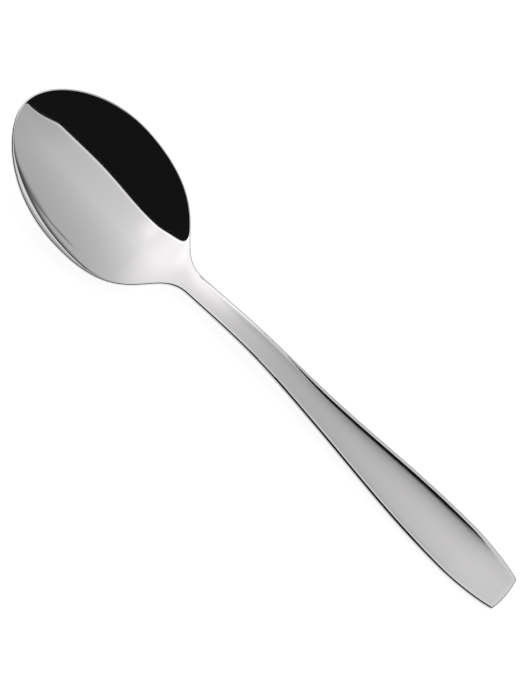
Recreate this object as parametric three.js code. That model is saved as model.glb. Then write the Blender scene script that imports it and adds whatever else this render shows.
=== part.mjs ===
// A dessert spoon, pressed from one strip of stainless steel and lying on a table.
// Millimetres. +X runs from the tip of the bowl to the end of the handle, +Y to the side and +Z up.
// The origin is on the table, under the middle of the spoon's length.
import * as THREE from 'three';

// Outline seen from above. Distances along the spoon start at the tip unless they say otherwise.
const LENGTH = 185;
const BOWL_WIDTH = 40.2;
const BOWL_WIDEST_AT = 30.2;
const NECK_WIDTH = 6.8;
const NECK_AT = 66.2;
const THROAT_LENGTH = 17;
const HANDLE_WIDTH = 15.6;
const HANDLE_WIDEST_FROM_END = 19.5;
const END_WIDTH = 11;
const END_BULGE = 0.65;
const END_TAPER = 0.27;
const CORNER_ROUNDING = 0.65;

// How far each curve of the outline holds its direction, as a share of its own stretch.
const TIP_ROUNDNESS = 0.42;
const TIP_SHOULDER = 0.59;
const BOWL_SHOULDER = 0.77;
const NECK_LEAD_IN = 0.31;
const NECK_LEAD_OUT = 0.59;
const HANDLE_SHOULDER = 0.32;
const END_SHOULDER = 0.27;

// Side profile: the height of the top edge over the table.
const TIP_RISE = 6.4;
const NECK_DIP_AT = 59;
const NECK_DIP_HEIGHT = 5;
const ARCH_AT = 86.8;
const ARCH_HEIGHT = 8.2;
const LOWER_HANDLE_FROM_END = 78;
const LOWER_HANDLE_HEIGHT = 6.65;

// Bowl and wall
const BOWL_DEPTH = 6.7;
const BOWL_FULLNESS = 0.93;
const FLOOR_THICKNESS = 1.4;
const RIM_THICKNESS = 1;
const RIM_LAND = 0.6;
const EDGE_ROUNDING = 0.35;

// Neck and handle
const NECK_EDGE_THICKNESS = 1.3;
const NECK_BELLY = 1.8;
const HANDLE_EDGE_THICKNESS = 1.2;
const HANDLE_BELLY = 1.2;
const END_THICKNESS = 1.2;
const END_BELLY = 0.9;
const END_LIFT_LENGTH = 5;
const DISH_DEPTH = 0.35;
const DISH_START = 84;
const DISH_FULL = 128;
const DISH_FADE_FROM_END = 24;
const DISH_STOP_FROM_END = 7;
const BEAD_WIDTH = 0.6;

// Depth of the small flats worn where the bowl and the end of the handle rest.
const BOWL_WEAR = 0.3;
const END_WEAR = 0.2;

// Fineness of the facets
const TIP_STEPS = 14;
const BOWL_STEPS = 18;
const HANDLE_STEPS = 18;
const TAPER_STEPS = 5;
const CORNER_STEPS = 2;
const END_STEPS = 4;
const FINE = 8;
const LANES = [0, 0.13, 0.3, 0.5, 0.69, 0.85];
const TIP_FAN = 12;
const END_FAN = 4;

const { lerp, smoothstep } = THREE.MathUtils;
const point = (x, y) => new THREE.Vector2(x, y);

// One side of the outline, from the tip to the middle of the handle's end.
function outlineCurves() {
  const tip = point(0, 0);
  const widest = point(BOWL_WIDEST_AT, BOWL_WIDTH / 2);
  const neck = point(NECK_AT, NECK_WIDTH / 2);
  const grip = point(LENGTH - HANDLE_WIDEST_FROM_END, HANDLE_WIDTH / 2);
  const corner = point(LENGTH - END_BULGE, END_WIDTH / 2);
  const throat = neck.x - widest.x;
  const flare = grip.x - neck.x;
  const taper = corner.x - grip.x;
  const inward = point(1, -END_TAPER);
  const beforeCorner = corner.clone().addScaledVector(inward.clone().normalize(), -CORNER_ROUNDING);

  const endRadius = (corner.y ** 2 + END_BULGE ** 2) / (2 * END_BULGE);
  const endAngle = Math.asin(corner.y / endRadius) - CORNER_ROUNDING / endRadius;
  const end = new THREE.EllipseCurve(LENGTH - endRadius, 0, endRadius, endRadius, endAngle, 0, true);

  const bend = (from, lead, trail, to) => new THREE.CubicBezierCurve(from, lead, trail, to);
  const endSpine = (share) => lerp(beforeCorner.x, LENGTH, share) - END_FAN;
  return [
    {
      steps: TIP_STEPS,
      curve: bend(tip, point(0, TIP_ROUNDNESS * widest.y),
        point(widest.x * (1 - TIP_SHOULDER), widest.y), widest),
      spine: (t) => lerp(TIP_FAN, widest.x, t),
    },
    {
      steps: BOWL_STEPS,
      curve: bend(widest, point(widest.x + BOWL_SHOULDER * throat, widest.y),
        point(neck.x - NECK_LEAD_IN * throat, neck.y), neck),
      spine: (t, x) => x,
    },
    {
      steps: HANDLE_STEPS,
      curve: bend(neck, point(neck.x + NECK_LEAD_OUT * flare, neck.y),
        point(grip.x - HANDLE_SHOULDER * flare, grip.y), grip),
      spine: (t, x) => x,
    },
    {
      steps: TAPER_STEPS,
      curve: bend(grip, point(grip.x + END_SHOULDER * taper, grip.y),
        beforeCorner.clone().addScaledVector(inward, -END_SHOULDER * taper), beforeCorner),
      spine: (t, x) => x - END_FAN * t,
    },
    {
      steps: CORNER_STEPS,
      curve: new THREE.QuadraticBezierCurve(beforeCorner, corner, end.getPoint(0)),
      spine: (t) => endSpine(t / 2),
    },
    { steps: END_STEPS, curve: end, spine: (t) => endSpine((1 + t) / 2) },
  ];
}

// Outline points, each with the point of the spoon's middle line that its row of vertices starts from.
function outlineStations(fineness) {
  const stations = [];
  for (const { steps, curve, spine } of outlineCurves()) {
    const count = steps * fineness;
    for (let i = stations.length ? 1 : 0; i <= count; i += 1) {
      const edge = curve.getPoint(i / count);
      stations.push({ edge, spine: point(spine(i / count, edge.x), 0) });
    }
  }
  return stations;
}

// Half the width of the spoon at a distance along it.
const fineOutline = outlineStations(FINE).map((station) => station.edge);

function halfWidth(x) {
  const after = fineOutline.findIndex((p) => p.x >= x);
  if (after <= 0) return after === 0 ? 0 : fineOutline.at(-1).y;
  const [a, b] = [fineOutline[after - 1], fineOutline[after]];
  return lerp(a.y, b.y, (x - a.x) / (b.x - a.x));
}

// Half the width of the bowl inside its rim: the outline drawn in by the rim's land.
function hollowHalfWidth(x) {
  if (x >= BOWL_WIDEST_AT) return Math.max(halfWidth(x) - RIM_LAND, 0);
  const shrink = BOWL_WIDEST_AT / (BOWL_WIDEST_AT - RIM_LAND);
  const outer = BOWL_WIDEST_AT - (BOWL_WIDEST_AT - x) * shrink;
  const half = BOWL_WIDTH / 2;
  return outer <= 0 ? 0 : (halfWidth(outer) * (half - RIM_LAND)) / half;
}

// A smooth curve through stations [distance, height], with its bend easing to nothing at both ends.
function smoothCurve(stations) {
  const last = stations.length - 1;
  const gap = (i) => stations[i + 1][0] - stations[i][0];
  const slope = (i) => (stations[i + 1][1] - stations[i][1]) / gap(i);
  const ratio = [0];
  const carried = [0];
  for (let i = 1; i < last; i += 1) {
    const pivot = 2 * (gap(i - 1) + gap(i)) - gap(i - 1) * ratio[i - 1];
    ratio[i] = gap(i) / pivot;
    carried[i] = (6 * (slope(i) - slope(i - 1)) - gap(i - 1) * carried[i - 1]) / pivot;
  }
  const bend = new Array(last + 1).fill(0);
  for (let i = last - 1; i > 0; i -= 1) bend[i] = carried[i] - ratio[i] * bend[i + 1];
  return (x) => {
    let i = 0;
    while (i < last - 1 && x > stations[i + 1][0]) i += 1;
    const h = gap(i);
    const b = (x - stations[i][0]) / h;
    const a = 1 - b;
    const sag = ((a ** 3 - a) * bend[i] + (b ** 3 - b) * bend[i + 1]) * (h * h) / 6;
    return a * stations[i][1] + b * stations[i + 1][1] + sag;
  };
}

function edgeHeights(rimHeight) {
  return smoothCurve([
    [0, rimHeight + TIP_RISE],
    [BOWL_WIDEST_AT, rimHeight],
    [NECK_DIP_AT, NECK_DIP_HEIGHT],
    [ARCH_AT, ARCH_HEIGHT],
    [LENGTH - LOWER_HANDLE_FROM_END, LOWER_HANDLE_HEIGHT],
    [LENGTH - END_LIFT_LENGTH, END_THICKNESS + END_BELLY - END_WEAR],
  ]);
}

// From 0 in the bowl to 1 in the neck and handle.
const towardsNeck = (x) => smoothstep(x, NECK_AT - THROAT_LENGTH, NECK_AT);

// A rounded hollow: 1 in the middle of the bowl and 0 at the given half width.
function hollow(y, half, fullHalf) {
  return Math.max((half * half - y * y) / (fullHalf * fullHalf), 0) ** BOWL_FULLNESS;
}

// The shallow dish in the top of the handle, inside its raised edges.
function handleDish(x, y) {
  const stop = LENGTH - DISH_STOP_FROM_END;
  const fade = LENGTH - DISH_FADE_FROM_END;
  const along = smoothstep(x, DISH_START, DISH_FULL) * (1 - smoothstep(x, fade, stop));
  const crest = halfWidth(x) - BEAD_WIDTH;
  return crest > 0 ? DISH_DEPTH * along * Math.max(1 - (y / crest) ** 2, 0) : 0;
}

function edgeThickness(x) {
  const stem = lerp(NECK_EDGE_THICKNESS, HANDLE_EDGE_THICKNESS, smoothstep(x, NECK_AT, DISH_FULL));
  const handle = lerp(stem, END_THICKNESS, smoothstep(x, DISH_FULL, LENGTH));
  return lerp(RIM_THICKNESS, handle, towardsNeck(x));
}

function bellyDepth(x, y) {
  const deep = BOWL_DEPTH + FLOOR_THICKNESS - RIM_THICKNESS;
  const half = halfWidth(x);
  const across = half > 0 ? Math.max(1 - (y / half) ** 2, 0) : 0;
  const stem = lerp(NECK_BELLY, HANDLE_BELLY, smoothstep(x, NECK_AT, DISH_FULL));
  const lift = smoothstep(x, LENGTH - END_LIFT_LENGTH, LENGTH);
  const handle = lerp(stem, END_BELLY, smoothstep(x, DISH_FULL, LENGTH)) * (1 - lift) * across;
  return lerp(deep * hollow(y, half, BOWL_WIDTH / 2), handle, towardsNeck(x));
}

// Top and underside of the spoon, with its rim at a given height over the table.
function surfaces(rimHeight) {
  const edge = edgeHeights(rimHeight);
  const insideHalf = BOWL_WIDTH / 2 - RIM_LAND;
  const bowl = (x, y) => BOWL_DEPTH * (1 - towardsNeck(x)) * hollow(y, hollowHalfWidth(x), insideHalf);
  return {
    top: (x, y) => edge(x) - bowl(x, y) - handleDish(x, y),
    under: (x, y) => edge(x) - edgeThickness(x) - bellyDepth(x, y),
  };
}

// The height at which the bowl, before its wear, reaches just under the table.
function settledRimHeight() {
  const rounds = 12;
  let height = BOWL_DEPTH + FLOOR_THICKNESS;
  for (let round = 0; round < rounds; round += 1) {
    const { under } = surfaces(height);
    const lowest = Math.min(...fineOutline.filter((p) => p.x < NECK_AT).map((p) => under(p.x, 0)));
    height -= lowest + BOWL_WEAR;
  }
  return height;
}

const { top, under } = surfaces(settledRimHeight());
const worn = (x, y) => Math.max(under(x, y), 0);

// One row of vertices: out over the top from the middle, round the edge and back underneath.
function sectionRow({ edge, spine }) {
  const reach = spine.distanceTo(edge);
  const inside = (distance) => edge.clone().lerp(spine, distance / reach);
  const bevel = EDGE_ROUNDING * (1 - Math.SQRT1_2);
  const land = inside(RIM_LAND);
  const face = [...LANES.map((share) => spine.clone().lerp(land, share)), land, inside(EDGE_ROUNDING)];
  const lift = (p, z) => new THREE.Vector3(p.x, p.y, z);
  const over = face.map((p) => lift(p, top(p.x, p.y)));
  const below = face.map((p) => lift(p, worn(p.x, p.y)));
  const upper = over.at(-1).z;
  const lower = below.at(-1).z;
  const wall = [
    lift(inside(bevel), upper - bevel),
    lift(edge, upper - EDGE_ROUNDING),
    lift(edge, lower + EDGE_ROUNDING),
    lift(inside(bevel), lower + bevel),
  ];
  return [...over, ...wall, ...below.reverse()];
}

// Two triangles over the corners of one cell, split along a to c or along b to d.
const cell = ([a, b, c, d], splitAC) => (splitAC ? [a, b, c, a, c, d] : [a, b, d, b, c, d]);

function spoonGeometry() {
  const rows = outlineStations(1).map(sectionRow);
  const across = rows[0].length;
  const positions = [];
  const indices = [];
  for (const side of [1, -1]) {
    const first = positions.length / 3;
    for (const row of rows) {
      for (const v of row) positions.push(v.x, side * v.y, v.z);
    }
    for (let i = 0; i + 1 < rows.length; i += 1) {
      for (let j = 0; j + 1 < across; j += 1) {
        const a = first + i * across + j;
        const b = a + across;
        const onTop = j < across / 2;
        const splitAC = onTop === (i < TIP_STEPS);
        const corners = side > 0 ? [a, b, b + 1, a + 1] : [a, a + 1, b + 1, b];
        indices.push(...cell(corners, splitAC));
      }
    }
  }
  const geometry = new THREE.BufferGeometry();
  geometry.setAttribute('position', new THREE.Float32BufferAttribute(positions, 3));
  geometry.setIndex(indices);
  geometry.computeVertexNormals();
  return geometry;
}

const steel = new THREE.MeshStandardMaterial({ color: 0xc4c3c1, metalness: 1, roughness: 0.15 });
const spoon = new THREE.Mesh(spoonGeometry(), steel);
spoon.name = 'spoon';
spoon.position.x = -LENGTH / 2;

const dessertSpoon = new THREE.Group();
dessertSpoon.add(spoon);

export default dessertSpoon;
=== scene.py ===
"""A stainless steel dessert spoon: its pressed shape, its polish and the studio table that it lies on.

Every length is in metres. x runs along the spoon, y across it and z up, and the table is at z = 0.
"""
import math

import bmesh
import bpy
import numpy as np
from mathutils import Matrix, Vector


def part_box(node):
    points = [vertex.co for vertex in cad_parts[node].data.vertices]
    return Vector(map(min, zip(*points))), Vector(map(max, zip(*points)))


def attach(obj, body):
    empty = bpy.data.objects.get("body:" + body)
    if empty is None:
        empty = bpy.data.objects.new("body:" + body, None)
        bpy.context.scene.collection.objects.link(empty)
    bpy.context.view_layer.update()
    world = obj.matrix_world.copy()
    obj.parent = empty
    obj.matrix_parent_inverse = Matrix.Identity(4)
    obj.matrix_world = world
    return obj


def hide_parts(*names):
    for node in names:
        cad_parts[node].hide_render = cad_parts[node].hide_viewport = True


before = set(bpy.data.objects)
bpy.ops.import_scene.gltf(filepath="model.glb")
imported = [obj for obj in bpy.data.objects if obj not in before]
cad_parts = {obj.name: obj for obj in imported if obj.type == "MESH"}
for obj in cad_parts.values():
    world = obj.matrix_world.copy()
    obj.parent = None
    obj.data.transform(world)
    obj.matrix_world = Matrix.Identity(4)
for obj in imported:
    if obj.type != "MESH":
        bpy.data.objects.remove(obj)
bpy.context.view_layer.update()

SPOON_LOW, SPOON_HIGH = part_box("spoon")

bl_info = {
    "name": "Dessert spoon",
    "version": (1, 0, 0),
    "blender": (4, 5, 0),
    "location": "3D view, sidebar, Spoon",
    "description": "Presses and polishes a stainless steel dessert spoon and lights it on a table",
    "category": "Add Mesh",
}


# Kinds of property

def length(name, description, default):
    """A size in metres."""
    return bpy.props.FloatProperty(
        name=name, description=description, default=default, unit="LENGTH", precision=5
    )


def share(name, description, default):
    """A part of a whole, from 0 to 1."""
    return bpy.props.FloatProperty(
        name=name, description=description, default=default, min=0, max=1, subtype="FACTOR"
    )


def angle(name, description, degrees):
    """A turn, kept in radians."""
    return bpy.props.FloatProperty(
        name=name, description=description, default=math.radians(degrees), subtype="ANGLE"
    )


def number(name, description, default):
    """A plain number without a unit."""
    return bpy.props.FloatProperty(name=name, description=description, default=default, precision=4)


def colour(name, description, default):
    """A linear colour."""
    return bpy.props.FloatVectorProperty(
        name=name, description=description, default=default, size=3, min=0, max=1, subtype="COLOR"
    )


def count(name, description, default):
    """A whole number of steps."""
    return bpy.props.IntProperty(name=name, description=description, default=default, min=1)


class SpoonSizes(bpy.types.PropertyGroup):
    """Sizes of the spoon. Places along it start at the tip of the bowl."""

    length: length("Length", "From the tip to the end of the handle", SPOON_HIGH.x - SPOON_LOW.x)
    bowl_width: length("Bowl width", "Across the widest part of the bowl", SPOON_HIGH.y - SPOON_LOW.y)
    bowl_widest_at: length("Bowl widest at", "Where the bowl is widest", 0.0302)
    neck_width: length("Neck width", "Across the narrowest part of the neck", 0.0068)
    neck_at: length("Neck at", "Where the neck is narrowest", 0.0662)
    throat_length: length("Throat length", "Stretch in which the bowl turns into the neck", 0.017)
    hollow_reach: length("Hollow reach", "How far past the slimmest neck the hollow fades out", 0.004)
    handle_width: length("Handle width", "Across the widest part of the handle", 0.0156)
    handle_widest_from_end: length("Handle widest from end", "Where the handle is widest", 0.0195)
    end_width: length("End width", "Across the corners of the handle's end", 0.011)
    end_bulge: length("End bulge", "How far the handle's end swells past its corners", 0.00065)
    end_taper: number("End taper", "Slope of the handle's sides at its end", 0.27)
    corner_rounding: length("Corner rounding", "How far from a corner its rounding starts", 0.00065)
    tip_roundness: share("Tip roundness", "How long the outline stays square to the tip", 0.42)
    tip_shoulder: share("Tip shoulder", "How long the bowl holds its width towards the tip", 0.59)
    bowl_shoulder: share("Bowl shoulder", "How long the bowl holds its width towards the neck", 0.77)
    neck_lead_in: share("Neck lead-in", "How long the neck stays slim towards the bowl", 0.31)
    neck_lead_out: share("Neck lead-out", "How long the neck stays slim towards the handle", 0.59)
    handle_shoulder: share("Handle shoulder", "How long the handle holds its width towards the neck", 0.32)
    end_shoulder: share("End shoulder", "How long the handle holds its width towards its end", 0.27)

    tip_rise: length("Tip rise", "How far the tip stands over the widest part of the rim", 0.0064)
    neck_dip_at: length("Neck dip at", "Where the edge is lowest before the neck", 0.059)
    neck_dip_height: length("Neck dip height", "Height of the edge there", 0.005)
    arch_at: length("Arch at", "Where the neck arches highest", 0.0868)
    arch_height: length("Arch height", "Height of the edge there", 0.0082)
    lower_handle_past_arch: length("Lower handle past arch", "A place on the handle's way down", 0.0202)
    lower_handle_height: length("Lower handle height", "Height of the edge there", 0.00665)

    bowl_depth: length("Bowl depth", "Depth of the hollow under its rim", 0.0067)
    bowl_fullness: number("Bowl fullness", "Below 1 for a flatter floor and steeper sides", 0.93)
    throat_fullness: number("Throat fullness", "The same in the throat, with gentler sides", 1.8)
    floor_thickness: length("Floor thickness", "Steel under the deepest part of the bowl", 0.0014)
    rim_thickness: length("Rim thickness", "Steel at the rim of the bowl", 0.001)
    rim_land: length("Rim land", "Width of the rim round the hollow", 0.00045)
    rim_rounding: length("Rim rounding", "Rounding of the rim's outer edge", 0.00042)
    neck_thickness: length("Neck thickness", "Edge of the neck", 0.0013)
    neck_belly: length("Neck belly", "How far the middle of the neck's underside swells", 0.0018)
    handle_thickness: length("Handle thickness", "Edge of the handle", 0.0012)
    handle_belly: length("Handle belly", "How far the middle of the handle's underside swells", 0.0012)
    end_thickness: length("End thickness", "Edge of the handle's end", 0.0012)
    end_belly: length("End belly", "How far the underside swells near the handle's end", 0.0009)
    end_lift_length: length("End lift length", "Stretch in which the end leaves the table", 0.005)
    handle_rounding: length("Handle rounding", "Rounding of the handle's upper edge", 0.00067)
    under_rounding: length("Under rounding", "Rounding of the lower edge all round", 0.00035)
    groove_depth: length("Groove depth", "Depth of the shallow groove in the neck", 0.00027)
    dish_depth: length("Dish depth", "Depth of the shallow dish where the handle is widest", 0.00075)
    dish_start: length("Dish start", "Where the dish begins to deepen", 0.092)
    dish_full: length("Dish full", "Where the dish is fully deep", 0.126)
    dish_fade_from_end: length("Dish fade from end", "Where the dish starts to run out", 0.02)
    dish_stop_from_end: length("Dish stop from end", "Where it has run out, under 0 past the end", -0.004)
    bead_height: length("Bead height", "How far the widest part of the handle's edge is raised", 0.0002)
    bead_start: length("Bead start", "Where the raised edge begins", 0.093)
    bead_full: length("Bead full", "Where the raised edge is fully high", 0.115)
    bead_fade_from_end: length("Bead fade from end", "Where the raised edge starts to run out", 0.032)
    bead_stop_from_end: length("Bead stop from end", "Where the raised edge has run out", 0.007)
    bead_width: length("Bead width", "From the outline to the raised edge's crest", 0.00105)
    neck_bead_width: length("Neck bead width", "From the outline to the crest of the neck's edge", 0.0006)
    bead_slope_width: length("Bead slope width", "From crest to dish where the handle is widest", 0.0015)
    bead_slope: number("Bead slope", "Slope of the edge from its crest to the outline", 0.162)
    bowl_wear: length("Bowl wear", "Depth of the flat worn under the bowl", 0.0003)
    end_wear: length("End wear", "Depth of the flat worn under the handle's end", 0.0002)
    satin_start: length("Satin start", "Where the mirror polish begins to give way to satin", 0.057)
    satin_full: length("Satin full", "Where the satin is full", 0.084)
    satin_rise: length("Satin rise", "Stretch inside the raised edge in which satin begins", 0.0009)
    satin_fade_from_end: length("Satin fade from end", "Where the satin starts to run out", 0.0018)
    satin_stop_from_end: length("Satin stop from end", "Where the satin has run out", 0.0006)

    end_spans: count("End spans", "Facets across the tip and across the handle's end", 48)
    side_spans: count("Side spans", "Facets along each side", 360)
    tip_span: length("Tip span", "Length of one facet along the tip's outline", 0.00042)


class SteelFinish(bpy.types.PropertyGroup):
    """Polish of the steel, with a painted highlight in the throat and painted sheen along the handle.
    Places along the spoon start at the middle of its length.
    """

    mirror_colour: colour("Mirror colour", "Mirror-polished steel", (0.62, 0.607, 0.612))
    satin_colour: colour("Satin colour", "Satin steel in the dish of the handle", (0.505, 0.494, 0.498))
    mirror_roughness: share("Mirror roughness", "Roughness of the mirror polish", 0.04)
    satin_roughness: share("Satin roughness", "Roughness of the satin", 0.33)
    # Painted sheen: the satin's colour lightens to the mirror colour towards the handle's end, so the
    # handle is painted darker near the neck and brighter at its end
    shine: share("Shine", "How far the satin brightens towards the handle's end", 1.0)
    shine_from: length("Shine from", "Where it begins to brighten", 0.015)
    shine_to: length("Shine to", "Where it is brightest", 0.083)
    # Painted highlight: the throat's base colour is raised by this share, between Throat from and Throat
    # stop
    throat_painted_highlight: share("Throat painted highlight", "How much brighter the painted highlight of the throat is", 0.14)
    throat_highlight_from: length("Throat from", "Where the throat's painted highlight begins", -0.0445)
    throat_highlight_full: length("Throat full", "Where it is brightest", -0.0345)
    throat_highlight_fade: length("Throat fade", "Where it begins to fade", -0.0265)
    throat_highlight_stop: length("Throat stop", "Where it has faded out", -0.0085)
    line_depth: length("Line depth", "Depth of the fine polishing lines in the satin", 0.000003)
    least_roughness: share("Least roughness", "Share of the roughness that is the same all over", 0.8)
    streak_roughness: share("Streak roughness", "Share of it that fine streaks add", 0.25)
    cloud_roughness: share("Cloud roughness", "Share of it that broad clouds add", 0.15)


class StudioStage(bpy.types.PropertyGroup):
    """Camera, table and light. Places in the light are parts of a direction, each from -1 to 1."""

    aim: bpy.props.FloatVectorProperty(
        name="Aim", description="Point that the camera looks at", subtype="XYZ", unit="LENGTH",
        default=(-0.00171, -0.00043, 0.00762),
    )
    tilt: angle("Tilt", "How far the camera leans from straight above", 18.64)
    turn: angle("Turn", "Side that the camera leans to, from +X towards -Y", 115.54)
    roll: angle("Roll", "How far the picture is turned about the line of sight", 44.408)
    distance: length("Distance", "From the camera to its aim", 1.2)
    lens: bpy.props.FloatProperty(
        name="Lens", description="Focal length in millimetres", default=234.83, unit="CAMERA"
    )
    table_size: length("Table size", "Side of the square table", 6.0)
    table_colour: colour("Table colour", "Paint of the table", (0.4, 0.4, 0.4))
    table_lift: number("Table lift", "Plain light that the camera and metal get from the table", 0.85)
    sky_level: number("Sky level", "Light of the overhead reflector straight above", 1.08)
    sky_slope: number("Sky slope", "How fast the reflector darkens towards +X", 0.4)
    sky_end: number("Sky end", "Where it begins to darken faster towards +X", 0.75)
    sky_fall: number("Sky fall", "How fast it darkens towards its far side", 0.55)
    sky_fall_from: number("Sky fall from", "Where that darkening begins", 0.4)
    sky_least: number("Sky least", "Light of its darkest part", 0.1)
    horizon: number("Horizon", "How high its dark foot on the far side reaches", 0.12)
    stand: share("Stand", "How dark a slim leaning stand in front of it is", 0.6)
    stand_at: number("Stand at", "A place along the stand", 0.45)
    stand_height: number("Stand height", "Height of the stand there", 0.13)
    stand_slope: number("Stand slope", "How fast the stand comes down towards +X", 0.55)
    stand_width: number("Stand width", "Width of the stand's upper part", 0.018)
    stand_foot_width: number("Stand foot width", "Width of the stand's lower part", 0.058)
    stand_widens_from: number("Stand widens from", "Where it begins to widen", 0.4)
    stand_widens_to: number("Stand widens to", "Where it is widest", 0.55)
    stand_start: number("Stand start", "Where its upper end begins", 0.26)
    stand_full: number("Stand full", "Where its upper end is fully dark", 0.36)
    stand_fade: number("Stand fade", "Where its lower end begins to fade", 0.6)
    stand_stop: number("Stand stop", "Where its lower end has faded out", 0.66)
    edge_shift: number("Edge shift", "How far the reflector's near edge reaches past straight above", 0.06)
    edge_from: number("Edge from", "Where the straight part of that edge begins", -0.55)
    edge_to: number("Edge to", "Where the straight part of that edge stops", 0.45)
    edge_curve: number("Edge curve", "How fast that edge curves away on both sides", 1.05)
    edge_stop: number("Edge stop", "Where that edge turns further away at its +X end", 0.82)
    edge_turn: number("Edge turn", "How fast it turns away there", 60.0)
    edge_width: number("Edge width", "Softness of that edge", 0.01)
    edge_glow: number("Edge glow", "Extra light along that edge", 0.35)
    edge_glow_width: number("Edge glow width", "Width of the bright line along that edge", 0.014)
    lamp_glow: number("Lamp glow", "Extra light of the lamp behind the reflector", 0.26)
    lamp_x: number("Lamp x", "Place of that lamp along the spoon", -0.17)
    lamp_y: number("Lamp y", "Place of that lamp across the spoon", 0.06)
    lamp_length: number("Lamp length", "Spread of that lamp along the spoon", 0.19)
    lamp_width: number("Lamp width", "Spread of that lamp across the spoon", 0.22)
    room_level: number("Room level", "Light of the dark room behind the camera", 0.01)
    low_wall: number("Low wall", "Light of the pale wall along the foot of that room", 0.8)
    low_wall_top: number("Low wall top", "How high that pale wall reaches", 0.29)
    low_wall_fade: number("Low wall fade", "How softly that pale wall ends", 0.04)


# Shape of the spoon

def bezier(points, t):
    """Points of the curve with these control points, at each place t from 0 to 1."""
    level = [np.outer(np.ones_like(t), point) for point in points]
    while len(level) > 1:
        level = [a + (b - a) * t[:, None] for a, b in zip(level, level[1:])]
    return level[0]


def blend(a, b, t):
    """a where t is 0, b where it is 1."""
    return a + (b - a) * t


def ease(x, start, stop):
    """0 before start, 1 after stop and a smooth rise between."""
    t = np.clip((x - start) / (stop - start), 0, 1)
    return t * t * (3 - 2 * t)


def smooth_curve(places, heights):
    """A curve through the heights at these places, with its bend easing to nothing at both ends."""
    places, heights = np.array(places), np.array(heights)
    gaps = np.diff(places)
    slopes = np.diff(heights) / gaps
    system = np.eye(len(places))
    turns = np.zeros(len(places))
    for i in range(1, len(places) - 1):
        system[i, i - 1:i + 2] = gaps[i - 1], 2 * (gaps[i - 1] + gaps[i]), gaps[i]
        turns[i] = 6 * (slopes[i] - slopes[i - 1])
    bends = np.linalg.solve(system, turns)

    def height(x):
        i = np.clip(np.searchsorted(places, x) - 1, 0, len(gaps) - 1)
        h = gaps[i]
        b = (x - places[i]) / h
        a = 1 - b
        sag = ((a ** 3 - a) * bends[i] + (b ** 3 - b) * bends[i + 1]) * h * h / 6
        return a * heights[i] + b * heights[i + 1] + sag

    return height


# Points in each curve of the outline
CURVE_POINTS = 400
# Rounds in which the rim's height settles
SETTLING_ROUNDS = 12
# Stands in for a width of 0 in a division
TINY = 1e-9


def half_outline(sizes):
    """One side of the outline, close-set, from the tip to the middle of the handle's end."""
    t = np.linspace(0, 1, CURVE_POINTS)
    widest = np.array([sizes.bowl_widest_at, sizes.bowl_width / 2])
    neck = np.array([sizes.neck_at, sizes.neck_width / 2])
    grip = np.array([sizes.length - sizes.handle_widest_from_end, sizes.handle_width / 2])
    corner = np.array([sizes.length - sizes.end_bulge, sizes.end_width / 2])
    along = np.array([1.0, 0.0])
    throat, flare, taper = np.diff([widest[0], neck[0], grip[0], corner[0]])
    inward = np.array([1.0, -sizes.end_taper])
    before_corner = corner - inward / np.linalg.norm(inward) * sizes.corner_rounding
    radius = (corner[1] ** 2 + sizes.end_bulge ** 2) / (2 * sizes.end_bulge)
    turn = (math.asin(corner[1] / radius) - sizes.corner_rounding / radius) * (1 - t)
    end = np.stack([sizes.length - radius * (1 - np.cos(turn)), radius * np.sin(turn)], 1)
    tip = np.zeros(2)
    tip_lead = np.array([0, sizes.tip_roundness * widest[1]])
    curves = [
        bezier([tip, tip_lead, widest - along * sizes.tip_shoulder * widest[0], widest], t),
        bezier([widest, widest + along * sizes.bowl_shoulder * throat,
                neck - along * sizes.neck_lead_in * throat, neck], t),
        bezier([neck, neck + along * sizes.neck_lead_out * flare,
                grip - along * sizes.handle_shoulder * flare, grip], t),
        bezier([grip, grip + along * sizes.end_shoulder * taper,
                before_corner - inward * sizes.end_shoulder * taper, before_corner], t),
        bezier([before_corner, corner, end[0]], t),
        end,
    ]
    return np.concatenate([curves[0]] + [curve[1:] for curve in curves[1:]])


def evenly_along(line, places):
    """Points of a line at these distances from its start."""
    run = np.concatenate([[0], np.cumsum(np.linalg.norm(np.diff(line, axis=0), axis=1))])
    return np.stack([np.interp(places, run, line[:, axis]) for axis in range(2)], 1)


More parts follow.
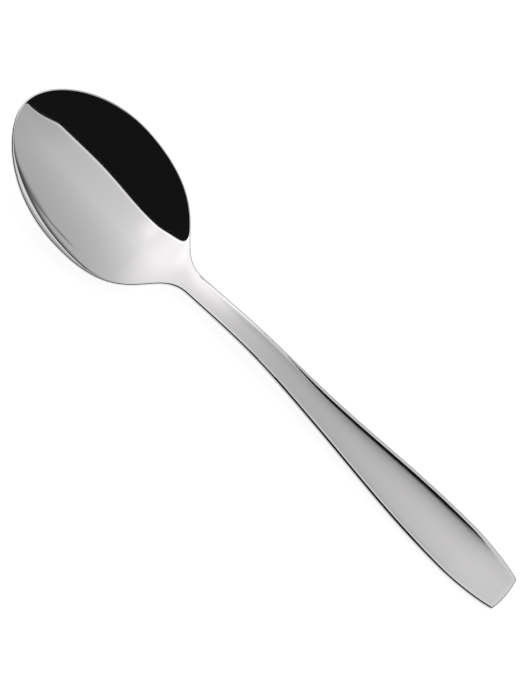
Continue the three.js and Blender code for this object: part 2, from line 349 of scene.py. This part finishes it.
class SpoonForm:
    """Heights of the spoon's two faces, as formulas of the place along it and across it."""

    def __init__(self, sizes):
        self.sizes = sizes
        self.side = half_outline(sizes)
        self.rim_height = self.settled_rim_height()

    def half_width(self, x):
        """Half the spoon's width."""
        return np.interp(x, self.side[:, 0], self.side[:, 1])

    def edge(self, x, rim_height):
        """Height of the top edge, with the widest part of the bowl's rim at the height given."""
        s = self.sizes
        places = [0, s.bowl_widest_at, s.neck_dip_at, s.arch_at, s.arch_at + s.lower_handle_past_arch,
                  s.length - s.end_lift_length]
        heights = [rim_height + s.tip_rise, rim_height, s.neck_dip_height, s.arch_height,
                   s.lower_handle_height, s.end_thickness + s.end_belly - s.end_wear]
        return smooth_curve(places, heights)(x)

    def towards_neck(self, x):
        """0 in the bowl, rising to 1 in the neck and handle."""
        return ease(x, self.sizes.neck_at - self.sizes.throat_length, self.sizes.neck_at)

    def hollow(self, x, y, half, full_half):
        """A rounded hollow: 1 in the middle of the bowl, 0 at the given half width and in the neck."""
        s = self.sizes
        start, stop = s.neck_at - s.throat_length, s.neck_at + s.hollow_reach
        middle = (half / full_half) ** (2 * s.bowl_fullness) * (1 - ease(x, start, stop))
        across = np.maximum(1 - (y / np.maximum(half, TINY)) ** 2, 0)
        fullness = blend(s.bowl_fullness, s.throat_fullness, ease(x, start, stop))
        return middle * across ** fullness

    def thickness(self, x):
        """Steel at the edge."""
        s = self.sizes
        stem = blend(s.neck_thickness, s.handle_thickness, ease(x, s.neck_at, s.dish_full))
        handle = blend(stem, s.end_thickness, ease(x, s.dish_full, s.length))
        return blend(s.rim_thickness, handle, self.towards_neck(x))

    def belly(self, x, y):
        """How far the underside swells below its edge."""
        s = self.sizes
        half = np.maximum(self.half_width(x), TINY)
        across = np.maximum(1 - (y / half) ** 2, 0)
        stem = blend(s.neck_belly, s.handle_belly, ease(x, s.neck_at, s.dish_full))
        handle = blend(stem, s.end_belly, ease(x, s.dish_full, s.length))
        handle = handle * (1 - ease(x, s.length - s.end_lift_length, s.length))
        deep = s.bowl_depth + s.floor_thickness - s.rim_thickness
        return deep * self.hollow(x, y, half, s.bowl_width / 2) + handle * self.towards_neck(x) * across

    def settled_rim_height(self):
        """The rim height at which the bowl, before its wear, reaches just under the table."""
        s = self.sizes
        x = self.side[self.side[:, 0] < s.neck_at, 0]
        height = s.bowl_depth + s.floor_thickness
        for _ in range(SETTLING_ROUNDS):
            lowest = np.min(self.edge(x, height) - self.thickness(x) - self.belly(x, 0 * x))
            height -= lowest + s.bowl_wear
        return height

    def crest(self, x):
        """From the outline to the crest of the edge."""
        s = self.sizes
        return blend(s.neck_bead_width, s.bead_width, ease(x, s.dish_start, s.bead_full))

    def breadth(self, x):
        """The spoon's width there, as a share of the handle's."""
        return np.maximum(self.half_width(x) * 2 / self.sizes.handle_width, TINY)

    def dish(self, x, y):
        """The shallow groove of the neck, which widens into the dish of the handle."""
        s = self.sizes
        deep = blend(s.groove_depth, s.dish_depth * self.breadth(x), ease(x, s.dish_start, s.dish_full))
        inside = np.maximum(self.half_width(x) - self.crest(x), TINY)
        across = np.maximum(1 - (y / inside) ** 2, 0)
        begin = ease(x, s.neck_at - s.throat_length / 2, s.neck_at)
        stop = 1 - ease(x, s.length - s.dish_fade_from_end, s.length - s.dish_stop_from_end)
        return deep * begin * stop * across

    def bead_stop(self, x):
        """1 along the handle, falling to 0 where its raised edge ends."""
        s = self.sizes
        return 1 - ease(x, s.length - s.bead_fade_from_end, s.length - s.bead_stop_from_end)

    def bead(self, x, y):
        """Depth of the handle's top under the crest of its raised edge, on both sides of the crest."""
        s = self.sizes
        beyond = self.half_width(x) - self.crest(x) - np.abs(y)
        slope_width = s.bead_slope_width * self.breadth(x)
        inside = 1 - (1 - np.clip(beyond / slope_width, 0, 1)) ** 3
        raised = s.bead_height * self.breadth(x) * ease(x, s.bead_start, s.bead_full) * inside
        return self.bead_stop(x) * (raised + s.bead_slope * self.towards_neck(x) * np.maximum(-beyond, 0))

    def satin(self, x, y):
        """1 where the steel is satin, 0 where it is polished to a mirror."""
        s = self.sizes
        from_edge = self.half_width(x) - np.abs(y)
        inside = blend(s.neck_bead_width, self.crest(x), self.bead_stop(x))
        across = ease(from_edge, inside, inside + s.satin_rise)
        stop = 1 - ease(x, s.length - s.satin_fade_from_end, s.length - s.satin_stop_from_end)
        return ease(x, s.satin_start, s.satin_full) * stop * across


# Modelling

def points_of(piece):
    """Places of the piece's points, one row for each."""
    points = np.zeros(len(piece.data.vertices) * 3)
    piece.data.vertices.foreach_get("co", points)
    return points.reshape(-1, 3)


def press(piece, name, depths):
    """Sinks every point of the piece by its own depth, all of them at or over 0 or all at or under it."""
    deepest = depths[np.argmax(np.abs(depths))]
    group = piece.vertex_groups.new(name=name)
    for index, depth in enumerate(depths / deepest):
        group.add([index], float(depth), "REPLACE")
    tool = piece.modifiers.new(name, "DISPLACE")
    tool.direction = "Z"
    tool.mid_level = 0
    tool.vertex_group = group.name
    tool.strength = -deepest
    bpy.ops.object.modifier_apply(modifier=tool.name)
    piece.vertex_groups.remove(piece.vertex_groups[name])


# Distances from the outline at which the rim has a loop of points, as shares of the rim's land
RIM_LOOPS = (0.05, 0.15, 0.3, 0.45, 0.6, 0.75, 0.9, 1.0, 1.1, 1.25, 1.5)
# How near to the land's inner side a point counts as on it, as a share of the land
RIM_TOLERANCE = 0.01
FROM_EDGE = "from_edge"
SATIN = "satin"


def outline_loop(sizes, form):
    """Points all round the outline: from the tip along one side to the handle's end and back."""
    half_spans = sizes.end_spans // 2
    tip_run = half_spans * sizes.tip_span
    side_run = np.linalg.norm(np.diff(form.side, axis=0), axis=1).sum()
    end_start = side_run - sizes.end_width / 2
    places = np.concatenate([
        np.linspace(0, tip_run, half_spans, endpoint=False),
        np.linspace(tip_run, end_start, sizes.side_spans, endpoint=False),
        np.linspace(end_start, side_run, half_spans + 1),
    ])
    side = evenly_along(form.side, places)
    return np.concatenate([side, side[-2:0:-1] * (1, -1)])


def mark_distance(blank, distance, first=0):
    """Keeps with each selected point, from the first one given, its distance from the outline.

    Returns how many points the blank has.
    """
    mesh = bmesh.from_edit_mesh(blank.data)
    layer = mesh.verts.layers.float[FROM_EDGE]
    for vert in list(mesh.verts)[first:]:
        if vert.select:
            vert[layer] = distance
    return len(mesh.verts)


def flat_blank(sizes, form):
    """The blank cut from sheet: its outline filled with a grid, with close loops of points at the rim."""
    loop = outline_loop(sizes, form)
    size = len(loop)
    bpy.ops.object.select_all(action="DESELECT")
    bpy.ops.mesh.primitive_circle_add(vertices=size, radius=sizes.length / 2, fill_type="NOTHING")
    blank = bpy.context.object
    place = np.column_stack([loop[:, 0] - sizes.length / 2, loop[:, 1], np.zeros(size)])
    blank.data.vertices.foreach_set("co", place.ravel())
    bpy.ops.object.mode_set(mode="EDIT")
    bpy.ops.mesh.select_all(action="SELECT")
    bpy.ops.mesh.edge_face_add()
    bmesh.from_edit_mesh(blank.data).verts.layers.float.new(FROM_EDGE)
    distances = [part * sizes.rim_land for part in RIM_LOOPS]
    for step, distance in zip(np.diff([0] + distances), distances):
        bpy.ops.mesh.inset(thickness=step, use_boundary=True, use_even_offset=True)
        rim_points = mark_distance(blank, distance)
    bpy.ops.mesh.delete(type="ONLY_FACE")

    bpy.ops.mesh.select_mode(type="EDGE")
    bpy.ops.mesh.select_all(action="DESELECT")
    mesh = bmesh.from_edit_mesh(blank.data)
    layer = mesh.verts.layers.float[FROM_EDGE]
    deepest = max(vert[layer] for vert in mesh.verts)
    innermost = {vert for vert in mesh.verts if vert[layer] == deepest}
    for edge in mesh.edges:
        if edge.is_boundary and innermost.issuperset(edge.verts):
            edge.select_set(True)
    # The grid starts at the active point, so that the tip and the handle's end are its short sides
    corner = Vector(place[-(sizes.end_spans // 2)])
    mesh.select_history.clear()
    mesh.select_history.add(min(innermost, key=lambda vert: (vert.co - corner).length))
    bmesh.update_edit_mesh(blank.data)
    bpy.ops.mesh.fill_grid(span=sizes.end_spans)
    bpy.ops.mesh.select_all(action="SELECT")
    mark_distance(blank, deepest, rim_points)
    bpy.ops.mesh.extrude_region_move(TRANSFORM_OT_translate={"value": (0, 0, -sizes.rim_thickness)})
    bpy.ops.mesh.select_all(action="SELECT")
    bpy.ops.mesh.normals_make_consistent(inside=False)
    bpy.ops.object.mode_set(mode="OBJECT")
    return blank


def rounding(distance, radius):
    """How far a rounded edge falls away at a distance from the outline."""
    inside = np.clip(radius - distance, 0, None)
    return radius - np.sqrt(radius ** 2 - inside ** 2)


def pressed_spoon(sizes):
    """The blank pressed into a spoon: arched, hollowed, dished, thickened and rounded at its edges."""
    form = SpoonForm(sizes)
    spoon = flat_blank(sizes, form)
    spoon.name = "pressed_spoon"
    place = points_of(spoon)
    x, y = place[:, 0] + sizes.length / 2, place[:, 1]
    above = place[:, 2] > -sizes.rim_thickness / 2
    distance = np.zeros(len(place))
    spoon.data.attributes[FROM_EDGE].data.foreach_get("value", distance)
    on_rim = np.abs(distance - sizes.rim_land) < RIM_TOLERANCE * sizes.rim_land
    rim = on_rim & above & (y >= 0)
    inner = np.stack([x[rim], y[rim]], 1)
    inner = inner[np.argsort(inner[:, 0])]
    inside_half = np.interp(x, inner[:, 0], inner[:, 1], left=0, right=0)
    full_half = sizes.bowl_width / 2 - sizes.rim_land
    upper_radius = blend(sizes.rim_rounding, sizes.handle_rounding, form.towards_neck(x))

    press(spoon, "arch", -form.edge(x, form.rim_height))
    press(spoon, "bowl", above * sizes.bowl_depth * form.hollow(x, y, inside_half, full_half))
    press(spoon, "dish", above * form.dish(x, y))
    press(spoon, "bead", above * form.bead(x, y))
    press(spoon, "upper edge", above * rounding(distance, upper_radius))
    press(spoon, "underside", ~above * (form.thickness(x) - sizes.rim_thickness + form.belly(x, y)))
    press(spoon, "lower edge", ~above * -rounding(distance, sizes.under_rounding))
    press(spoon, "wear", np.minimum(points_of(spoon)[:, 2], 0))
    spoon.data.attributes.remove(spoon.data.attributes[FROM_EDGE])
    spoon.data.attributes.new(SATIN, "FLOAT", "POINT").data.foreach_set("value", form.satin(x, y))
    bpy.ops.object.shade_smooth()
    return spoon


# Shaders

class Value:
    """A number that a shader works out at each point. Arithmetic on it adds Math nodes."""

    def __init__(self, socket):
        self.socket = socket

    def math(self, operation, left, right):
        """A Math node of two terms, each a value or a plain number."""
        tree = self.socket.id_data
        node = tree.nodes.new("ShaderNodeMath")
        node.operation = operation
        for slot, term in zip(node.inputs, (left, right)):
            if isinstance(term, Value):
                tree.links.new(term.socket, slot)
            else:
                slot.default_value = term
        return Value(node.outputs[0])

    def __add__(self, other):
        return self.math("ADD", self, other)

    def __radd__(self, other):
        return self.math("ADD", other, self)

    def __sub__(self, other):
        return self.math("SUBTRACT", self, other)

    def __rsub__(self, other):
        return self.math("SUBTRACT", other, self)

    def __mul__(self, other):
        return self.math("MULTIPLY", self, other)

    def __rmul__(self, other):
        return self.math("MULTIPLY", other, self)

    def __truediv__(self, other):
        return self.math("DIVIDE", self, other)

    def __rtruediv__(self, other):
        return self.math("DIVIDE", other, self)

    def __pow__(self, other):
        return self.math("POWER", self, other)

    def __rpow__(self, other):
        return self.math("POWER", other, self)

    def at_least(self, other):
        return self.math("MAXIMUM", self, other)

    def at_most(self, other):
        return self.math("MINIMUM", self, other)


class Shader:
    """Adds nodes to the tree of one material or world."""

    def __init__(self, owner):
        owner.use_nodes = True
        self.tree = owner.node_tree
        self.tree.nodes.clear()

    def node(self, kind, settings, inputs):
        """A node of this kind, with its settings made first and its sockets then filled or linked."""
        node = self.tree.nodes.new(kind)
        for name, setting in settings.items():
            setattr(node, name, setting)
        sockets = {socket.identifier: socket for socket in node.inputs}
        for name, term in inputs.items():
            if isinstance(term, Value):
                term = term.socket
            if isinstance(term, bpy.types.NodeSocket):
                self.tree.links.new(term, sockets[name])
            else:
                sockets[name].default_value = term
        return node

    def value(self, kind, settings, inputs):
        """The first output of a new node, as a number."""
        return Value(self.node(kind, settings, inputs).outputs[0])

    def eased(self, value, start, stop):
        """0 where a value is under start, 1 over stop and a smooth rise between."""
        inputs = {"Value": value, "From Min": start, "From Max": stop}
        return self.value("ShaderNodeMapRange", {"interpolation_type": "SMOOTHSTEP"}, inputs)

    def mixed(self, factor, first, second):
        """The first colour where the factor is 0, the second where it is 1."""
        inputs = {"Factor_Float": factor, "A_Color": (*first, 1), "B_Color": (*second, 1)}
        node = self.node("ShaderNodeMix", {"data_type": "RGBA"}, inputs)
        return next(socket for socket in node.outputs if socket.identifier == "Result_Color")

    def parts(self, vector):
        """The three numbers of a vector."""
        node = self.node("ShaderNodeSeparateXYZ", {}, {"Vector": vector})
        return [Value(socket) for socket in node.outputs]


# Scale along each axis and detail of the noises in the polish
LINES = (60, 12000, 12000), 2.0
STREAKS = (25, 2500, 2500), 3.0
CLOUDS = (120, 160, 160), 2.0
NOISE_ROUGHNESS = 0.6


def grain(shader, place, scale, detail):
    """Noise from 0 to 1, stretched by a scale of its own along each axis."""
    mapping = shader.node("ShaderNodeMapping", {}, {"Vector": place, "Scale": scale})
    return shader.value("ShaderNodeTexNoise", {}, {
        "Vector": mapping.outputs["Vector"], "Scale": 1.0, "Detail": detail, "Roughness": NOISE_ROUGHNESS,
    })


def polished_steel(finish):
    """Stainless steel: a mirror in the bowl and on the edges, finely lined satin in the handle's dish, with
    a painted highlight in the throat and painted sheen along the handle.
    """
    steel = bpy.data.materials.new("polished_steel")
    shader = Shader(steel)
    place = shader.node("ShaderNodeTexCoord", {}, {}).outputs["Object"]
    satin = Value(shader.node("ShaderNodeAttribute", {"attribute_name": SATIN}, {}).outputs["Fac"])
    lines, streaks, clouds = (grain(shader, place, *noise) for noise in (LINES, STREAKS, CLOUDS))
    roughness = finish.mirror_roughness + satin * satin * (finish.satin_roughness - finish.mirror_roughness)
    patches = finish.streak_roughness * streaks + finish.cloud_roughness * clouds
    roughness = roughness * (finish.least_roughness + patches)
    along = shader.parts(place)[0]
    # Painted sheen: the handle's colour brightens towards its end
    satin_less_painted_shine = satin * (1 - finish.shine * shader.eased(along, finish.shine_from, finish.shine_to))
    # Painted highlight: the throat's base colour is made brighter here
    throat = shader.eased(along, finish.throat_highlight_from, finish.throat_highlight_full)
    throat = throat * (1 - shader.eased(along, finish.throat_highlight_fade, finish.throat_highlight_stop))
    tint = shader.node("ShaderNodeVectorMath", {"operation": "SCALE"}, {
        "Vector": shader.mixed(satin_less_painted_shine, finish.mirror_colour, finish.satin_colour),
        "Scale": 1 + finish.throat_painted_highlight * throat,
    })
    bump = shader.node("ShaderNodeBump", {}, {
        "Height": lines * satin, "Distance": finish.line_depth, "Strength": 1.0,
    })
    surface = shader.node("ShaderNodeBsdfPrincipled", {}, {
        "Base Color": tint.outputs["Vector"],
        "Metallic": 1.0,
        "Roughness": roughness,
        "Normal": bump.outputs["Normal"],
    })
    shader.node("ShaderNodeOutputMaterial", {}, {"Surface": surface.outputs["BSDF"]})
    return steel


def table_paint(stage):
    """Pale table paint, lifted to white for the camera and for metal, with the object's shadow kept."""
    paint = bpy.data.materials.new("table_paint")
    shader = Shader(paint)
    diffuse = shader.node("ShaderNodeBsdfDiffuse", {}, {"Color": (*stage.table_colour, 1)})
    path = shader.node("ShaderNodeLightPath", {}, {})
    camera, glossy, transmission = (
        Value(path.outputs[ray]) for ray in ("Is Camera Ray", "Is Glossy Ray", "Is Transmission Ray")
    )
    seen = (camera + glossy + transmission).at_most(1)
    glow = shader.node("ShaderNodeEmission", {}, {"Strength": stage.table_lift})
    lifted = shader.node("ShaderNodeAddShader", {}, {
        "Shader": diffuse.outputs["BSDF"], "Shader_001": glow.outputs["Emission"],
    })
    surface = shader.node("ShaderNodeMixShader", {}, {
        "Fac": seen, "Shader": diffuse.outputs["BSDF"], "Shader_001": lifted.outputs["Shader"],
    })
    shader.node("ShaderNodeOutputMaterial", {}, {"Surface": surface.outputs["Shader"]})
    return paint


def soft_spot(squared):
    """1 in the middle of a soft spot and falling to 0 round it, from the squared distance to its middle."""
    return math.e ** (squared * -1)


def studio_light(stage):
    """A wide overhead reflector beside a dark room, as metal sees it. The camera sees plain white.

    The reflector is brighter towards -X, at a lamp and along its near edge. It is darker at its foot on
    the far side and behind a slim stand. The room has a pale low wall.
    """
    world = bpy.data.worlds.new("studio_light")
    shader = Shader(world)
    direction = shader.node("ShaderNodeTexCoord", {}, {}).outputs["Generated"]
    x, y, z = shader.parts(direction)
    bend = (x - stage.edge_to).at_least(stage.edge_from - x).at_least(0)
    turn = (x - stage.edge_stop).at_least(0)
    inside = y + stage.edge_shift - bend * bend * stage.edge_curve - turn * turn * stage.edge_turn
    lit = shader.eased(inside, -stage.edge_width / 2, stage.edge_width / 2)
    edge = soft_spot((inside / stage.edge_glow_width - 1) ** 2)
    lamp_x, lamp_y = (x - stage.lamp_x) / stage.lamp_length, (y - stage.lamp_y) / stage.lamp_width
    lamp = soft_spot(lamp_x ** 2 + lamp_y ** 2)

    sky = stage.sky_level - x * stage.sky_slope - (y - stage.sky_fall_from).at_least(0) * stage.sky_fall
    sky = (sky - (x - stage.sky_end).at_least(0)) * shader.eased(z, 0, stage.horizon)
    widening = shader.eased(x, stage.stand_widens_from, stage.stand_widens_to)
    stand_width = stage.stand_width + (stage.stand_foot_width - stage.stand_width) * widening
    over_stand = z + x * stage.stand_slope - (stage.stand_height + stage.stand_at * stage.stand_slope)
    stand = soft_spot((over_stand / stand_width) ** 2)
    stand = stand * shader.eased(x, stage.stand_start, stage.stand_full)
    stand = stand * (1 - shader.eased(x, stage.stand_fade, stage.stand_stop))
    sky = (sky * (1 - stage.stand * stand)).at_least(stage.sky_least)
    sky = sky + edge * stage.edge_glow + lamp * stage.lamp_glow

    above_wall = shader.eased(z, stage.low_wall_top - stage.low_wall_fade, stage.low_wall_top)
    room = stage.room_level + stage.low_wall * (1 - above_wall)
    light = room + lit * (sky - room)
    path = shader.node("ShaderNodeLightPath", {}, {})
    seen = Value(path.outputs["Is Camera Ray"])
    studio = shader.node("ShaderNodeBackground", {}, {"Color": light})
    white = shader.node("ShaderNodeBackground", {}, {"Color": (1, 1, 1, 1)})
    surface = shader.node("ShaderNodeMixShader", {}, {
        "Fac": seen, "Shader": studio.outputs["Background"], "Shader_001": white.outputs["Background"],
    })
    shader.node("ShaderNodeOutputWorld", {}, {"Surface": surface.outputs["Shader"]})
    return world


# Operators

class SPOON_OT_press(bpy.types.Operator):
    """Press the spoon from its blank and polish it, with a painted highlight in the throat and painted
    sheen along the handle
    """

    bl_idname = "spoon.press"
    bl_label = "Press the spoon"

    def execute(self, context):
        spoon = pressed_spoon(context.scene.spoon_sizes)
        spoon.data.materials.append(polished_steel(context.scene.spoon_finish))
        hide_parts("spoon")
        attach(spoon, "root")
        return {"FINISHED"}


class SPOON_OT_stage(bpy.types.Operator):
    """Lay the table, light the studio and place the camera"""

    bl_idname = "spoon.stage"
    bl_label = "Set the stage"

    def execute(self, context):
        scene = context.scene
        stage = scene.spoon_stage
        bpy.ops.object.select_all(action="DESELECT")
        bpy.ops.mesh.primitive_plane_add(size=stage.table_size)
        table = context.object
        table.name = "table"
        table.data.materials.append(table_paint(stage))
        scene.world = studio_light(stage)
        scene.view_settings.view_transform = "Standard"

        away = Vector((
            math.sin(stage.tilt) * math.cos(stage.turn),
            -math.sin(stage.tilt) * math.sin(stage.turn),
            math.cos(stage.tilt),
        ))
        along = Vector((1, 0, 0))
        along = (along - along.dot(away) * away).normalized()
        across = away.cross(along)
        right = along * math.cos(stage.roll) + across * math.sin(stage.roll)
        up = away.cross(right)
        bpy.ops.object.camera_add()
        camera = context.object
        camera.name = "camera"
        camera.matrix_world = Matrix.Translation(Vector(stage.aim) + away * stage.distance) @ Matrix(
            (right, up, away)
        ).transposed().to_4x4()
        camera.data.lens = stage.lens
        scene.camera = camera
        return {"FINISHED"}


class SPOON_PT_panel(bpy.types.Panel):
    """The spoon's sizes, finish and stage"""

    bl_label = "Dessert spoon"
    bl_idname = "SPOON_PT_panel"
    bl_space_type = "VIEW_3D"
    bl_region_type = "UI"
    bl_category = "Spoon"

    def draw(self, context):
        for operator, group in (
            (SPOON_OT_press, context.scene.spoon_sizes),
            (None, context.scene.spoon_finish),
            (SPOON_OT_stage, context.scene.spoon_stage),
        ):
            box = self.layout.box()
            if operator:
                box.operator(operator.bl_idname)
            for name in group.__annotations__:
                box.prop(group, name)


CLASSES = (SpoonSizes, SteelFinish, StudioStage, SPOON_OT_press, SPOON_OT_stage, SPOON_PT_panel)


def register():
    for cls in CLASSES:
        bpy.utils.register_class(cls)
    bpy.types.Scene.spoon_sizes = bpy.props.PointerProperty(type=SpoonSizes)
    bpy.types.Scene.spoon_finish = bpy.props.PointerProperty(type=SteelFinish)
    bpy.types.Scene.spoon_stage = bpy.props.PointerProperty(type=StudioStage)


def unregister():
    del bpy.types.Scene.spoon_stage
    del bpy.types.Scene.spoon_finish
    del bpy.types.Scene.spoon_sizes
    for cls in reversed(CLASSES):
        bpy.utils.unregister_class(cls)


def main():
    register()
    bpy.ops.spoon.press()
    bpy.ops.spoon.stage()


if __name__ == "__main__":
    main()
